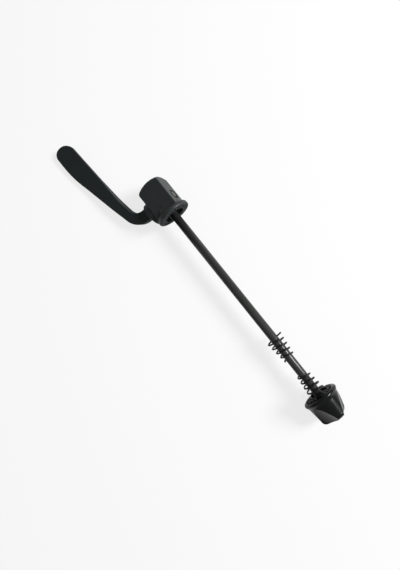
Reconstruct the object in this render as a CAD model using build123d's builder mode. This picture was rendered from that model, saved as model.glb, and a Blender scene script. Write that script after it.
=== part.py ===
from build123d import *
import os
from math import atan, cos, degrees, radians, sin

# Quick release skewer for a bicycle's front wheel, lying on a table. All sizes are in millimetres.
# +X runs along the rod from the head to the nut, +Z is up, and the origin is on the rod's axis, in the plane
# of the head's clamping face.

# Sizes that the hub and the fork ends set
rod_diameter = 5.0
clamp_distance = 130.5
collar_diameter = 21.0

# Fits: turning parts, sliding parts, and the play that lets the eccentric's arc drive a straight rod
running_clearance = 0.05
sliding_clearance = 0.15
cam_play = 0.4

# Resting attitude: the head leans about the rod and the lever swings up, until the lever lies on the table
head_lean = 17.4
lever_lift = 1.67

# Head
head_length = 25.2
block_width = 15.3
block_height = 14.8
block_end_radius = 17.4
block_corner_radius = 2.0
block_top_rounding = 0.6
block_base_rounding = 1.4
collar_rim_length = 2.6
collar_front_radius = 1.0
collar_shoulder_radius = 1.5
collar_flare_length = 6.6
neck_radius = 7.3
recess_depth = 2.6

# Cam shaft and the eye of the rod
cam_setback = 9.6
cam_throw = 1.0
cam_radius = 3.0
journal_radius = 4.2
tail_radius = 1.9
spigot_radius = 3.2
spigot_length = 2.4
eye_radius = 6.0
eye_thickness = 7.0
eye_end_wall = 2.2

# Retaining clip, in a counterbore of the head's side
clip_thickness = 0.6
clip_radius = 3.0
clip_ring_width = 0.8
clip_groove_radius = 1.15
clip_prong_width = 1.4
clip_mouth_width = 2.0
counterbore_radius = 3.3
counterbore_depth = 1.1

# Lever, in its own plane: lengths from the cam's axis towards the tip, offsets from the rod's axis
lever_length = 72.9
lever_disc_radius = 7.4
lever_disc_thickness = 3.3
lever_disc_rounding = 0.8
disc_clearance = 0.2
lever_root_thickness = 6.4
lever_blade_thickness = 3.2
lever_tip_thickness = 2.8
lever_top_radius = 0.5
lever_back_radius = 1.5
crank_inner_length = 5.6
crank_outer_length = -1.5
crank_inner_offset = 18.8
crank_outer_offset = 22.7
crank_inner_radius = 7.5
crank_outer_radius = 12.0
arm_length = 20.0
arm_inner_offset = 21.3
arm_blend_radius = 80.0
blade_edge_length = 19.3
blade_inner_offset = 24.0
blade_width = 12.5
blade_blend_radius = 77.0
blade_dish_radius = 60.0
tip_outer_radius = 4.5
tip_flat = 0.2

# Springs
wire_diameter = 1.0
wire_sides = 6
spring_large_radius = 5.4
spring_small_radius = 3.7
spring_length = 15.3
spring_turns = 4.5
lever_spring_start = 91.0
lever_spring_bearing = -90.0
nut_spring_bearing = 180.0

# Nut
nut_diameter = 20.8
nut_rim_setback = 0.5
nut_length = 16.0
nut_rim_rounding = 1.3
nut_rim_arc = 120.0
nut_waist_diameter = 18.7
nut_waist_at = 4.4
nut_end_diameter = 16.7
nut_end_rounding = 2.5
core_flange_radius = 8.4
core_flange_thickness = 2.5
core_sleeve_radius = 4.2
core_end_wall = 1.8
spring_seat_radius = 5.9
spring_seat_depth = 1.0
spring_gap = 0.1
lock_ring_radius = 3.3
lock_ring_length = 2.2
rod_end_inset = 3.4
rod_end_chamfer = 0.6
end_hole_radius = 2.8

# Finger scallops of the nut
scallop_count = 3
scallop_radius = 18.0
scallop_slope = 23.0
scallop_turn = 15.5

# Serrations of the clamping faces
serration_count = 24
serration_width = 0.8
serration_depth = 0.4
serration_land = 0.4

rod_radius = rod_diameter / 2
thread_bore_radius = rod_radius + running_clearance
collar_radius = collar_diameter / 2
cavity_radius = eye_radius + sliding_clearance
eye_slot_half_length = cam_radius + cam_play
eye_slot_half_height = cam_radius + cam_throw + sliding_clearance
eye_front = recess_depth + cam_throw + sliding_clearance
eye_back = cam_setback + eye_slot_half_length + eye_end_wall
cavity_back = eye_back + cam_throw + 2 * sliding_clearance
lever_face = block_width / 2 + sliding_clearance
blade_outer_offset = blade_inner_offset + blade_width
tip_inner_radius = blade_width - tip_outer_radius - tip_flat
eccentric_half = eye_thickness / 2 + sliding_clearance
clip_seat = block_width / 2 - counterbore_depth + running_clearance
nut_rim = clamp_distance + nut_rim_setback
nut_end = clamp_distance + nut_length
core_end = nut_end - core_end_wall

head_plan = Plane.XY.rotated((head_lean, 0, 0))
head_up = Axis((0, 0, 0), head_plan.z_dir)
cam_axis = Vector(0, cos(radians(head_lean)), sin(radians(head_lean)))
cam_line = Axis((-cam_setback, 0, 0), cam_axis)
cam_plane = Plane((-cam_setback, 0, 0), x_dir=(1, 0, 0), z_dir=cam_axis)
eye_plane = Plane((0, 0, 0), x_dir=cam_axis, z_dir=(1, 0, 0))
lever_plan = Plane(head_plan.location * Pos(X=-cam_setback) * Rot(Y=lever_lift))
lever_side = Plane(lever_plan.origin, x_dir=lever_plan.x_dir, z_dir=-lever_plan.y_dir)
lever_up = Axis(lever_plan.origin, lever_plan.z_dir)
shaft_plane = Plane(lever_plan.origin, x_dir=lever_plan.x_dir, z_dir=cam_axis)
nut_face = Plane((clamp_distance, 0, 0), x_dir=(0, 0, 1), z_dir=(-1, 0, 0))

os.makedirs("parts", exist_ok=True)

# Housing: a cast block round the cam, blended into a round collar that bears on the fork end. The rod's eye slides
# in a slot behind the recess in the collar's serrated face.
with BuildPart() as housing:
    with BuildSketch(head_plan.offset(-block_height / 2)) as block_plan:
        with Locations((-collar_front_radius - head_length / 2, 0)):
            Rectangle(head_length, block_width)
    extrude(amount=block_height)
    with Locations((block_end_radius - head_length, 0, 0)):
        Sphere(block_end_radius, mode=Mode.INTERSECT)
    end_rim = housing.faces().filter_by(GeomType.SPHERE)[0].edges().sort_by(cam_line)
    fillet([end_rim[0], end_rim[-1]], block_corner_radius)
    block_root = housing.faces().sort_by(Axis.X)[-1].edges()
    top_rim = housing.faces().sort_by(head_up)[-1].edges()
    fillet([rim for rim in top_rim if rim not in block_root], block_top_rounding)
    base_rim = housing.faces().sort_by(head_up)[0].edges()
    fillet([rim for rim in base_rim if rim not in block_root], block_base_rounding)
    with BuildSketch(Plane.XY) as collar_profile:
        with BuildLine():
            face = Line((0, 0), (0, collar_radius))
            rim = Line(face @ 1, (-collar_rim_length, collar_radius))
            neck = (-collar_rim_length - collar_flare_length, neck_radius)
            flare = TangentArc(neck, rim @ 1, tangent=(1, 0))
            Polyline(flare @ 0, (neck[0], 0), face @ 0)
        make_face()
        fillet(collar_profile.vertices().sort_by_distance(rim @ 0)[0], collar_front_radius)
        fillet(collar_profile.vertices().sort_by_distance(rim @ 1)[0], collar_shoulder_radius)
    revolve(axis=Axis.X)
    with BuildSketch(Plane.YZ) as face_recess:
        Circle(cavity_radius)
    extrude(amount=-recess_depth, mode=Mode.SUBTRACT)
    with BuildSketch(eye_plane) as eye_cavity:
        Circle(cavity_radius)
        Rectangle(eye_thickness + 2 * sliding_clearance, 2 * cavity_radius, mode=Mode.INTERSECT)
    extrude(amount=-cavity_back, mode=Mode.SUBTRACT)
    with BuildSketch(cam_plane) as journal_bore:
        Circle(journal_radius + running_clearance)
    extrude(amount=-block_width, mode=Mode.SUBTRACT)
    with BuildSketch(cam_plane) as tail_bore:
        Circle(tail_radius + running_clearance)
    extrude(amount=block_width, mode=Mode.SUBTRACT)
    with BuildSketch(cam_plane.offset(block_width / 2 - counterbore_depth)) as clip_counterbore:
        Circle(counterbore_radius)
    extrude(amount=block_width, mode=Mode.SUBTRACT)
    with BuildSketch(cam_plane.offset(-block_width / 2)) as lever_disc_seat:
        Circle(lever_disc_radius + disc_clearance)
    extrude(amount=-collar_radius, mode=Mode.SUBTRACT)
    with BuildSketch(Plane.YZ) as head_serrations:
        inner_land = cavity_radius + serration_land
        groove_length = collar_radius - collar_front_radius - serration_land - inner_land
        with PolarLocations(inner_land + groove_length / 2, serration_count):
            Rectangle(groove_length, serration_width)
    extrude(amount=-serration_depth, mode=Mode.SUBTRACT)
housing.part.label = "housing"
export_step(housing.part, "parts/housing.step")

# Skewer rod: a steel rod with a flattened eye forged on its end. The eye's slot is longer across the rod, so that
# the eccentric moves the rod along its axis only.
with BuildPart() as skewer_rod:
    with BuildSketch(Plane.YZ.offset(-eye_front)) as rod_section:
        Circle(rod_radius)
    extrude(amount=nut_end - rod_end_inset + eye_front)
    chamfer(skewer_rod.edges().group_by(Axis.X)[-1], rod_end_chamfer)
    with BuildSketch(eye_plane.offset(-eye_front)) as eye_section:
        Circle(eye_radius)
        Rectangle(eye_thickness, 2 * eye_radius, mode=Mode.INTERSECT)
    extrude(amount=eye_front - eye_back)
    with BuildSketch(cam_plane) as eye_slot:
        SlotOverall(2 * eye_slot_half_height, 2 * eye_slot_half_length, rotation=90)
    extrude(amount=eye_thickness, both=True, mode=Mode.SUBTRACT)
skewer_rod.part.label = "skewer_rod"
export_step(skewer_rod.part, "parts/skewer_rod.step")

# Cam shaft: a spigot in the lever, a journal in the housing, the eccentric in the rod's eye, and a thin tail with a
# groove for the clip.
with BuildPart() as cam_shaft:
    with BuildSketch(shaft_plane.offset(-lever_face)) as spigot:
        Circle(spigot_radius)
    extrude(amount=-spigot_length)
    with BuildSketch(shaft_plane.offset(-lever_face)) as journal:
        Circle(journal_radius)
    extrude(amount=lever_face - eccentric_half)
    with BuildSketch(shaft_plane.offset(-eccentric_half)) as eccentric:
        with Locations((0, cam_throw)):
            Circle(cam_radius)
    extrude(amount=2 * eccentric_half)
    with BuildSketch(shaft_plane.offset(eccentric_half)) as tail:
        Circle(tail_radius)
    extrude(amount=block_width / 2 - eccentric_half)
    with BuildSketch(shaft_plane.offset(clip_seat)) as clip_groove:
        Circle(tail_radius)
        Circle(clip_groove_radius, mode=Mode.SUBTRACT)
    extrude(amount=clip_thickness, mode=Mode.SUBTRACT)
cam_shaft.part.label = "cam_shaft"
export_step(cam_shaft.part, "parts/cam_shaft.step")

# Cam clip: a flat spring-steel ring with three prongs that grip the groove, open on one side.
with BuildPart() as cam_clip:
    with BuildSketch(shaft_plane.offset(clip_seat)) as clip_outline:
        Circle(clip_radius)
        Circle(clip_radius - clip_ring_width, mode=Mode.SUBTRACT)
        prong_length = clip_radius - clip_ring_width / 2
        with PolarLocations(prong_length / 2, 3, start_angle=90):
            Rectangle(prong_length, clip_prong_width)
        Circle(clip_groove_radius, mode=Mode.SUBTRACT)
        with Locations((0, -clip_radius)):
            Rectangle(clip_mouth_width, 2 * clip_radius, mode=Mode.SUBTRACT)
    extrude(amount=clip_thickness)
cam_clip.part.label = "cam_clip"
export_step(cam_clip.part, "parts/cam_clip.step")

# Lever: a forged paddle, cranked at the root so that it swings clear of the head, thick at the crank and flat and
# wide where the palm pushes it. A round disc at the root covers the cam's journal.
with BuildPart() as lever:
    with BuildSketch(lever_plan) as lever_outline:
        root_offset = lever_face + lever_disc_thickness / 2
        corners = {
            (-crank_inner_length, -crank_inner_offset): crank_inner_radius,
            (-arm_length, -arm_inner_offset): arm_blend_radius,
            (-lever_length, -blade_inner_offset): tip_inner_radius,
            (-lever_length, -blade_outer_offset): tip_outer_radius,
            (blade_edge_length - lever_length, -blade_outer_offset): blade_blend_radius,
            (-crank_outer_length, -crank_outer_offset): crank_outer_radius,
        }
        with BuildLine():
            root = Line((-crank_outer_length, -root_offset), (-crank_inner_length, -root_offset))
            Polyline(root @ 1, *corners, root @ 0)
        make_face()
        for point, radius in corners.items():
            fillet(lever_outline.vertices().sort_by_distance(point)[0], radius)
    extrude(amount=lever_root_thickness / 2, both=True)
    with BuildSketch(lever_side) as lever_profile:
        with BuildLine():
            Polyline(
                (lever_disc_radius, 0),
                (lever_disc_radius, lever_root_thickness / 2),
                (-arm_length, lever_root_thickness / 2),
                (-2 * arm_length, lever_blade_thickness / 2),
                (-lever_length, lever_tip_thickness / 2),
                (-lever_length, 0),
                close=True,
            )
        make_face()
        fillet(lever_profile.vertices().sort_by(Axis.X)[2:4], blade_dish_radius)
        mirror(about=Plane.XZ)
    extrude(amount=blade_outer_offset, mode=Mode.INTERSECT)
    fillet(lever.faces().sort_by(lever_up)[0].edges().sort_by(cam_line)[:-1], lever_back_radius)
    fillet(lever.faces().sort_by(lever_up)[-1].edges().sort_by(cam_line)[:-1], lever_top_radius)
    with BuildSketch(lever_plan) as disc_profile:
        with Locations((lever_disc_radius / 2, -root_offset)):
            Rectangle(lever_disc_radius, lever_disc_thickness)
        fillet(disc_profile.vertices().group_by(Axis.X)[-1].sort_by(Axis.Y)[0], lever_disc_rounding)
    revolve(axis=cam_line)
    with BuildSketch(shaft_plane.offset(-lever_face)) as spigot_hole:
        Circle(spigot_radius)
    extrude(amount=-spigot_length, mode=Mode.SUBTRACT)
lever.part.label = "lever"
export_step(lever.part, "parts/lever.step")


# A conical coil spring that starts at its large end, at one place along the rod, and winds left-handed along +X
# or -X.
def conical_spring(large_end, side, start_bearing):
    large_coil = spring_large_radius - wire_diameter / 2
    small_coil = spring_small_radius - wire_diameter / 2
    rise = spring_length - wire_diameter
    taper = degrees(atan((large_coil - small_coil) / rise))
    with BuildPart() as spring:
        with BuildLine() as coil:
            Helix(
                pitch=rise / spring_turns,
                height=rise,
                radius=large_coil,
                center=(large_end + side * wire_diameter / 2, 0, 0),
                direction=(side, 0, 0),
                cone_angle=-taper,
                lefthand=True,
            )
        with BuildSketch(Plane(coil.line @ 0, z_dir=coil.line % 0)):
            RegularPolygon(wire_diameter / 2, wire_sides)
        sweep(path=coil.line, is_frenet=True)
    return spring.part.rotate(Axis.X, start_bearing)


# Lever spring: pushes the head away from the hub, its large end towards the head.
lever_spring = conical_spring(lever_spring_start, 1, lever_spring_bearing)
lever_spring.label = "lever_spring"
export_step(lever_spring, "parts/lever_spring.step")

# Nut spring: the same spring turned round, its large end in the nut's seat.
nut_spring = conical_spring(clamp_distance + spring_seat_depth - spring_gap, -1, nut_spring_bearing)
nut_spring.label = "nut_spring"
export_step(nut_spring, "parts/nut_spring.step")

# Nut core: a steel insert with a serrated clamping flange, a seat for the spring and a threaded sleeve.
with BuildPart() as nut_core:
    with BuildSketch(Plane.XY) as core_profile:
        with BuildLine():
            flange_back = clamp_distance + core_flange_thickness
            seat_floor = clamp_distance + spring_seat_depth
            Polyline(
                (clamp_distance, spring_seat_radius),
                (clamp_distance, core_flange_radius),
                (flange_back, core_flange_radius),
                (flange_back, core_sleeve_radius),
                (core_end, core_sleeve_radius),
                (core_end, lock_ring_radius),
                (core_end - lock_ring_length, lock_ring_radius),
                (core_end - lock_ring_length, thread_bore_radius),
                (seat_floor, thread_bore_radius),
                (seat_floor, spring_seat_radius),
                close=True,
            )
        make_face()
    revolve(axis=Axis.X)
    with BuildSketch(nut_face) as nut_serrations:
        inner_land = spring_seat_radius + serration_land
        groove_length = core_flange_radius - inner_land
        with PolarLocations(inner_land + groove_length / 2, serration_count):
            Rectangle(groove_length, serration_width)
    extrude(amount=-serration_depth, mode=Mode.SUBTRACT)
nut_core.part.label = "nut_core"
export_step(nut_core.part, "parts/nut_core.step")

# Nut lock ring: a nylon ring in the core's outer end that grips the rod's thread.
with BuildPart() as nut_lock_ring:
    with BuildSketch(Plane.YZ.offset(core_end - lock_ring_length)) as ring_section:
        Circle(lock_ring_radius)
        Circle(thread_bore_radius, mode=Mode.SUBTRACT)
    extrude(amount=lock_ring_length)
nut_lock_ring.part.label = "nut_lock_ring"
export_step(nut_lock_ring.part, "parts/nut_lock_ring.step")

# Nut cap: a moulded grip round the core, tapered to its rounded outer end, with finger scallops that deepen from the
# waist behind its rim towards that end.
with BuildPart() as nut_cap:
    with BuildSketch(Plane.XY) as cap_profile:
        nut_radius = nut_diameter / 2
        end_radius = nut_end_diameter / 2
        with BuildLine():
            rim_face = Line((nut_rim, core_flange_radius), (nut_rim, nut_radius - nut_rim_rounding))
            rim_centre = (nut_rim + nut_rim_rounding, nut_radius - nut_rim_rounding)
            bead = CenterArc(rim_centre, nut_rim_rounding, 180, -nut_rim_arc)
            waist = Vector(clamp_distance + nut_waist_at, nut_waist_diameter / 2)
            flank = Line(waist, (nut_end - nut_end_rounding, end_radius))
            Spline(bead @ 1, waist, tangents=[bead % 1, flank % 0])
            end_round = RadiusArc(flank @ 1, (nut_end, end_radius - nut_end_rounding), nut_end_rounding)
            Polyline(
                end_round @ 1,
                (nut_end, end_hole_radius),
                (core_end, end_hole_radius),
                (core_end, core_sleeve_radius),
                (clamp_distance + core_flange_thickness, core_sleeve_radius),
                (clamp_distance + core_flange_thickness, core_flange_radius),
                rim_face @ 0,
            )
        make_face()
    revolve(axis=Axis.X)
    for index in range(scallop_count):
        bearing = radians(scallop_turn + index * 360 / scallop_count)
        outward = Vector(0, cos(bearing), sin(bearing))
        scallop_centre = Vector(waist.X, 0, 0) + outward * (waist.Y + scallop_radius)
        scallop_run = Vector(cos(radians(scallop_slope)), 0, 0) - outward * sin(radians(scallop_slope))
        with BuildSketch(Plane(scallop_centre, z_dir=(1, 0, 0))) as scallop:
            Circle(scallop_radius)
        extrude(amount=nut_length, dir=scallop_run, mode=Mode.SUBTRACT)
nut_cap.part.label = "nut_cap"
export_step(nut_cap.part, "parts/nut_cap.step")
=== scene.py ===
import math

import bmesh
import bpy
from mathutils import Matrix, Vector


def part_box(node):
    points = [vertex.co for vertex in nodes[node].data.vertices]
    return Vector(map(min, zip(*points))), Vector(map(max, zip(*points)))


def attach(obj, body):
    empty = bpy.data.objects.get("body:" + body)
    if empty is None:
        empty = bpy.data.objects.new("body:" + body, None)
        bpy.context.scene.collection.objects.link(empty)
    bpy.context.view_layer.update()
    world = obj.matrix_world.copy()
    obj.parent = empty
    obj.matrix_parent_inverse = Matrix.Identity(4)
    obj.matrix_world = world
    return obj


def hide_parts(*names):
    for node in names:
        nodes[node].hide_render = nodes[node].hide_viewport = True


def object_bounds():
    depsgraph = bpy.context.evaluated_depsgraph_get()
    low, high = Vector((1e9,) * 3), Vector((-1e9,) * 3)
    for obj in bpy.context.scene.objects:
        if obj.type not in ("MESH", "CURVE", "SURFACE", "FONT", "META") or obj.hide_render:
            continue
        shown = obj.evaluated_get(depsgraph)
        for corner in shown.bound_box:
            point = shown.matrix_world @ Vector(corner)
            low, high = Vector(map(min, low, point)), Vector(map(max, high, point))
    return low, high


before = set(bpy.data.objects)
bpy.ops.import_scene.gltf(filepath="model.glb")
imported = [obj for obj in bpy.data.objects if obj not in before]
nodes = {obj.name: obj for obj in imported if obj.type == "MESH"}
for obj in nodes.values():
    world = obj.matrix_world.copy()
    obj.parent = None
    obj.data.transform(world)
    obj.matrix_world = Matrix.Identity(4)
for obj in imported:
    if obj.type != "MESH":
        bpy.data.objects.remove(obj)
cad_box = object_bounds()

# Head housing: a block cast in one with its round collar, in aluminium, then blasted and coated satin black.
# The lever's disc runs in a round seat on its near side, and the clip sits in a counterbore on its far side. The
# toothed face that clamps the fork end, in the plane x = 0, is duller than the rest.


class Wire:
    """A socket of a material's nodes: sums on it add Math nodes, and node() adds any other kind."""

    def __init__(self, tree, socket=None):
        self.tree = tree
        self.socket = socket

    def node(self, kind, inputs, outlet=0, **settings):
        made = self.tree.nodes.new("ShaderNode" + kind)
        for name, setting in settings.items():
            setattr(made, name, setting)
        for name, value in inputs.items():
            if isinstance(value, Wire):
                self.tree.links.new(value.socket, made.inputs[name])
            else:
                made.inputs[name].default_value = value
        return Wire(self.tree, made.outputs[outlet])

    def __add__(self, other):
        return self.node("Math", {0: self, 1: other}, operation="ADD")

    def __mul__(self, other):
        return self.node("Math", {0: self, 1: other}, operation="MULTIPLY")

    __radd__ = __add__
    __rmul__ = __mul__


def new_finish(name, **plain):
    """A material with the plain values on its shader, and its shader node and object coordinates."""
    material = bpy.data.materials.new(name)
    material.use_nodes = True
    shader = material.node_tree.nodes["Principled BSDF"]
    for socket, value in plain.items():
        shader.inputs[socket.replace("_", " ")].default_value = value
    spot = Wire(material.node_tree).node("TexCoord", {}, outlet="Object")
    return material, shader, spot


def feed(shader, **wires):
    for socket, wire in wires.items():
        wire.tree.links.new(wire.socket, shader.inputs[socket.replace("_", " ")])


def noise(spot, scale, detail=3.0, stretch=(1, 1, 1)):
    place = spot.node("Mapping", {"Vector": spot, "Scale": stretch})
    return spot.node("TexNoise", {"Vector": place, "Scale": scale, "Detail": detail}, outlet="Fac")


def blend(low, high, mask):
    """A colour between two: a colour Mix has its factor at socket 0 and its ends at sockets 6 and 7."""
    return mask.node("Mix", {0: mask, 6: (*low, 1), 7: (*high, 1)}, outlet=2, data_type="RGBA")


def bump(height, strength, distance):
    return height.node("Bump", {"Strength": strength, "Distance": distance, "Height": height}, outlet="Normal")


def give(piece, material):
    piece.data.materials.clear()
    piece.data.materials.append(material)


cast_coat, cast_shader, spot = new_finish("head_satin_black_coat", IOR=1.5)
blast_grain = noise(spot, scale=5200, detail=2.0)
coat_drift = noise(spot, scale=160)
dull_from = -0.0006
teeth_floor = -0.0004
along_rod = spot.node("SeparateXYZ", {"Vector": spot}, outlet="X")
on_teeth = spot.node("MapRange", {"Value": along_rod, "From Min": dull_from, "From Max": teeth_floor})
feed(
    cast_shader,
    Base_Color=blend((0.011, 0.0145, 0.0148), (0.020, 0.0245, 0.0250), coat_drift),
    Roughness=0.36 + 0.12 * coat_drift + 0.06 * blast_grain + 0.42 * on_teeth,
    Normal=bump(blast_grain, strength=0.12, distance=0.00004),
)
give(nodes["housing"], cast_coat)

# Cam shaft: turned from bright steel, with its eccentric inside the rod's eye. Only its tail end shows, inside
# the clip.
turned_steel, turned_shader, spot = new_finish("cam_turned_steel", Metallic=1.0)
tool_marks = noise(spot, scale=2600, detail=2.0)
feed(
    turned_shader,
    Base_Color=blend((0.07, 0.07, 0.068), (0.15, 0.15, 0.145), tool_marks),
    Roughness=0.28 + 0.14 * tool_marks,
)
give(nodes["cam_shaft"], turned_steel)

# Cam clip: a ring stamped from spring steel, darkened by its hardening. Its three prongs are pushed into the groove
# of the shaft's tail, so that the shaft can't slip out of the head.
stamped_steel, stamped_shader, spot = new_finish("clip_spring_steel", Metallic=1.0)
heat_tint = noise(spot, scale=900)
feed(
    stamped_shader,
    Base_Color=blend((0.02, 0.02, 0.02), (0.06, 0.059, 0.056), heat_tint),
    Roughness=0.30 + 0.15 * heat_tint,
)
give(nodes["cam_clip"], stamped_steel)

# Lever: forged in aluminium and coated as the head is, a little duller, with a trace of the polishing along its
# blade.
forged_coat, forged_shader, spot = new_finish("lever_satin_black_coat", IOR=1.5, Specular_IOR_Level=0.35)
polish_lines = noise(spot, scale=700, stretch=(0.12, 1, 1))
coat_drift = noise(spot, scale=90)
feed(
    forged_shader,
    Base_Color=blend((0.0072, 0.0108, 0.0113), (0.0138, 0.0185, 0.0190), coat_drift),
    Roughness=0.42 + 0.12 * coat_drift + 0.06 * polish_lines,
    Normal=bump(polish_lines, strength=0.10, distance=0.00003),
)
give(nodes["lever"], forged_coat)

# Skewer rod: drawn steel wire, blackened, with the eye forged on one end and an M5 thread rolled on the other.
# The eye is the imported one, and the shank and its thread are turned here as one closed piece.


def new_piece(name, bm, material, body, slot, *stands_for):
    mesh = bpy.data.meshes.new(name)
    bm.to_mesh(mesh)
    bm.free()
    piece = bpy.data.objects.new(name, mesh)
    bpy.context.scene.collection.objects.link(piece)
    mesh.materials.append(material)
    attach(piece, body)
    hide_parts(*stands_for)
    return piece


blackened, blackened_shader, spot = new_finish("rod_black_oxide", IOR=1.5, Specular_IOR_Level=0.25)
draw_lines = noise(spot, scale=2400, detail=2.0, stretch=(0.04, 1, 1))
oxide_drift = noise(spot, scale=110)
feed(
    blackened_shader,
    Base_Color=blend((0.028, 0.0300, 0.0283), (0.043, 0.0455, 0.043), oxide_drift),
    Roughness=0.17 + 0.08 * oxide_drift + 0.06 * draw_lines,
    Normal=bump(draw_lines, strength=0.10, distance=0.00003),
)

rod_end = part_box("skewer_rod")[1].x
shank_radius = 0.0025
shank_start = -0.0030
shank_sides = 48
thread_start = 0.1170
thread_length = rod_end - thread_start
thread_pitch = 0.0008
thread_depth = 0.00045
thread_runout = 2 * thread_pitch
tip_chamfer = 0.0006
rings_per_pitch = 8
merge_distance = 1e-7

bm = bmesh.new()
bm.from_mesh(nodes["skewer_rod"].data)
bmesh.ops.remove_doubles(bm, verts=bm.verts, dist=merge_distance)
bmesh.ops.bisect_plane(
    bm,
    geom=bm.verts[:] + bm.edges[:] + bm.faces[:],
    plane_co=(shank_start, 0, 0),
    plane_no=(1, 0, 0),
    clear_outer=True,
)
bmesh.ops.holes_fill(bm, edges=[edge for edge in bm.edges if edge.is_boundary])
new_piece("rod_eye", bm, blackened, "rod", "rod_steel", "skewer_rod")

# The shank starts as a cylinder with its rings one unit apart: ring 0 goes to the eye, and the rest make the thread.
ring_count = round(thread_length / thread_pitch * rings_per_pitch)
bm = bmesh.new()
bmesh.ops.create_cone(
    bm,
    cap_ends=True,
    segments=shank_sides,
    radius1=shank_radius,
    radius2=shank_radius,
    depth=ring_count + 1,
    matrix=Matrix.Rotation(math.pi / 2, 4, "Y"),
)
sides = [edge for edge in bm.edges if abs(edge.verts[0].co.x - edge.verts[1].co.x) > 1]
bmesh.ops.subdivide_edges(bm, edges=sides, cuts=ring_count, use_grid_fill=True)
for vert in bm.verts:
    ring = round(vert.co.x + (ring_count + 1) / 2)
    if ring == 0:
        vert.co.x = shank_start
        continue
    along = thread_length * (ring - 1) / ring_count
    turn = math.atan2(vert.co.z, vert.co.y) / math.tau
    groove = 0.5 + 0.5 * math.cos(math.tau * (along / thread_pitch - turn))
    thread_radius = shank_radius - thread_depth * groove * min(1, along / thread_runout)
    chamfer_radius = shank_radius - tip_chamfer + thread_length - along
    radius = min(thread_radius, chamfer_radius)
    vert.co = Vector((thread_start + along, *(vert.co.yz * radius / shank_radius)))
shank = new_piece("rod_shank", bm, blackened, "rod", "rod_steel", "skewer_rod")
shank.data.shade_smooth()

# Lever spring: a conical coil of blackened round wire with cut ends, wound left-handed. It sits loose on the rod with
# its large end towards the head, and only pushes the head away from the hub while the wheel goes in.
spring_wire, wire_shader, spot = new_finish("spring_black_wire", IOR=1.5, Specular_IOR_Level=0.25)
scale_drift = noise(spot, scale=400)
feed(
    wire_shader,
    Base_Color=blend((0.006, 0.0068, 0.0064), (0.016, 0.017, 0.016), scale_drift),
    Roughness=0.26 + 0.16 * scale_drift,
)
wire_radius = 0.0005
wire_sides = 14
large_coil = 0.0049
small_coil = 0.0032
turns = 4.5
steps_per_turn = 40


def coil_spring(name, body, way, start_angle):
    """A spring that winds from its large end along +X or -X, as way is 1 or -1."""
    low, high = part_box(body)
    large_end = low.x if way > 0 else high.x
    rise = high.x - low.x - 2 * wire_radius
    steps = round(turns * steps_per_turn)
    bm = bmesh.new()
    bmesh.ops.create_circle(bm, segments=wire_sides, radius=wire_radius, cap_ends=True)
    lead = math.atan2(rise / turns, math.tau * large_coil)
    bmesh.ops.rotate(bm, verts=bm.verts, matrix=Matrix.Rotation(-lead, 3, "Y"))
    bmesh.ops.rotate(bm, verts=bm.verts, matrix=Matrix.Rotation(math.pi / 2, 3, "X"))
    bmesh.ops.translate(bm, verts=bm.verts, vec=(large_end + way * wire_radius, 0, large_coil))
    bmesh.ops.rotate(bm, verts=bm.verts, matrix=Matrix.Rotation(start_angle, 3, "X"))
    bmesh.ops.spin(
        bm,
        geom=bm.faces[:],
        cent=(0, 0, 0),
        axis=(-way, 0, 0),
        dvec=(way * rise / steps, 0, 0),
        angle=turns * math.tau,
        steps=steps,
    )
    shrink = (large_coil - small_coil) / rise
    for vert in bm.verts:
        reach = math.hypot(vert.co.y, vert.co.z)
        along = min(max(way * (vert.co.x - large_end) - wire_radius, 0), rise)
        vert.co.yz *= 1 - shrink * along / reach
    bmesh.ops.recalc_face_normals(bm, faces=bm.faces)
    spring = new_piece(name, bm, spring_wire, body, "spring_steel", body)
    spring.data.shade_smooth()


coil_spring("lever_spring_wire", "lever_spring", 1, math.radians(-90))

# Nut spring: the same spring turned round. Its large end sits in the nut's seat, and it pushes the nut away from the
# hub.
coil_spring("nut_spring_wire", "nut_spring", -1, 0)

# Nut core: a blackened steel insert, turned, with a coined ring of teeth on the clamping face. The oxide is worn
# lighter in places.
core_steel, core_shader, spot = new_finish("core_black_oxide", Metallic=1.0)
oxide_wear = noise(spot, scale=1500)
feed(
    core_shader,
    Base_Color=blend((0.007, 0.0073, 0.007), (0.026, 0.026, 0.025), oxide_wear),
    Roughness=0.42 + 0.18 * oxide_wear,
)
give(nodes["nut_core"], core_steel)

# Nut lock ring: natural nylon, pressed into the core's outer end, where it grips the thread. It is hidden but for
# what shows through the hole in the nut's end.
nylon, nylon_shader, spot = new_finish("lock_natural_nylon", Roughness=0.45)
cloudiness = noise(spot, scale=800, detail=2.0)
feed(nylon_shader, Base_Color=blend((0.62, 0.61, 0.56), (0.74, 0.73, 0.68), cloudiness))
give(nodes["nut_lock_ring"], nylon)

# Nut cap: gloss black plastic moulded round the core, with three finger scallops. Its skin has the slight waviness
# of a moulding.
gloss_black, gloss_shader, spot = new_finish("nut_gloss_black", IOR=1.5, Specular_IOR_Level=0.24)
skin = noise(spot, scale=300, detail=2.0)
feed(
    gloss_shader,
    Base_Color=blend((0.0034, 0.0042, 0.0040), (0.0070, 0.0080, 0.0076), skin),
    Roughness=0.16 + 0.06 * skin,
    Normal=bump(skin, strength=0.02, distance=0.00005),
)
give(nodes["nut_cap"], gloss_black)

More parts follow.
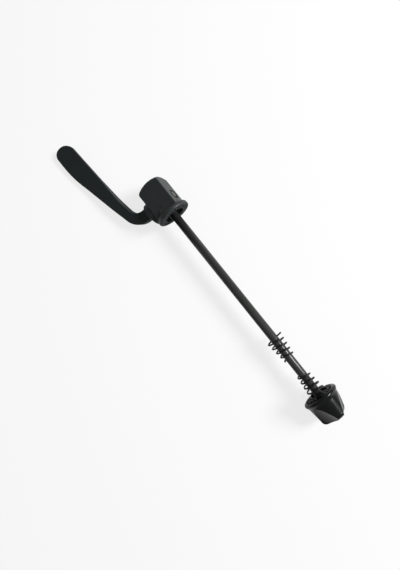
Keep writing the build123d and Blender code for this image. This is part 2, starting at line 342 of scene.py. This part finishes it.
# Table and light: a white table that the camera sees almost as bright as paper in a light tent, with the part's shadow
# on it. One soft lamp stands high on the far side, in an evenly dim room.
table_size = 1.6
table_centre = 0.04
white_to_camera = 0.77
white_in_reflections = 0.25
bm = bmesh.new()
bmesh.ops.create_grid(bm, x_segments=1, y_segments=1, size=table_size / 2)
bmesh.ops.translate(bm, verts=bm.verts, vec=(table_centre, 0, cad_box[0][2]))
table_mesh = bpy.data.meshes.new("table")
bm.to_mesh(table_mesh)
bm.free()
table = bpy.data.objects.new("table", table_mesh)
bpy.context.scene.collection.objects.link(table)
white_table = bpy.data.materials.new("white_table")
white_table.use_nodes = True
tree = white_table.node_tree
tree.nodes.clear()
seen = Wire(tree).node("LightPath", {}, outlet="Is Camera Ray")
mirrored = Wire(tree).node("LightPath", {}, outlet="Is Glossy Ray")
through = Wire(tree).node("LightPath", {}, outlet="Is Transmission Ray")
paper = seen.node("BsdfDiffuse", {"Color": (0.86, 0.86, 0.86, 1)})
glow = seen.node("Emission", {"Color": (1, 1, 1, 1), "Strength": 1.0})
glow_share = white_to_camera * seen + white_in_reflections * (mirrored + through)
surface = seen.node("MixShader", {0: glow_share, 1: paper, 2: glow})
out = tree.nodes.new("ShaderNodeOutputMaterial")
tree.links.new(surface.socket, out.inputs["Surface"])
table_mesh.materials.append(white_table)

world = bpy.data.worlds.new("room")
bpy.context.scene.world = world
world.use_nodes = True
backing = world.node_tree.nodes["Background"]
backing.inputs["Color"].default_value = (0.24, 0.24, 0.24, 1)
backing.inputs["Strength"].default_value = 1.0

lamp_place = Vector((0.33, 0.73, 0.60))
lamp_aim = Vector((0.11, 0, 0))
light = bpy.data.lights.new("key_lamp", "AREA")
light.shape = "DISK"
light.size = 0.36
light.energy = 12.5
lamp = bpy.data.objects.new("key_lamp", light)
bpy.context.scene.collection.objects.link(lamp)
lamp.location = lamp_place
lamp.rotation_euler = (lamp_aim - lamp_place).to_track_quat("-Z", "Y").to_euler()

# Camera: where the photograph was taken from, looking almost straight down on the lying part.
frame_width, frame_height = 400, 570
focal_pixels = 435.2
centre_pixels = (203.3, 289.0)
sensor_height = 36
place = Vector((0.07364, 0, 0.25014))
right = Vector((0.61718, 0.77850, -0.11455))
down = Vector((0.77848, -0.62530, -0.05533))
forward = Vector((-0.11470, -0.05502, -0.99188))
camera = bpy.data.objects.new("camera", bpy.data.cameras.new("camera"))
bpy.context.scene.collection.objects.link(camera)
attitude = Matrix((right, -down, -forward)).transposed().to_4x4()
camera.matrix_world = Matrix.Translation(place) @ attitude
camera.data.sensor_fit = "VERTICAL"
camera.data.sensor_height = sensor_height
camera.data.lens = sensor_height * focal_pixels / frame_height
camera.data.shift_x = (frame_width / 2 - centre_pixels[0]) / frame_height
camera.data.shift_y = (centre_pixels[1] - frame_height / 2) / frame_height
camera.data.clip_start = 0.01
bpy.context.scene.camera = camera
bpy.context.scene.view_settings.view_transform = "Standard"
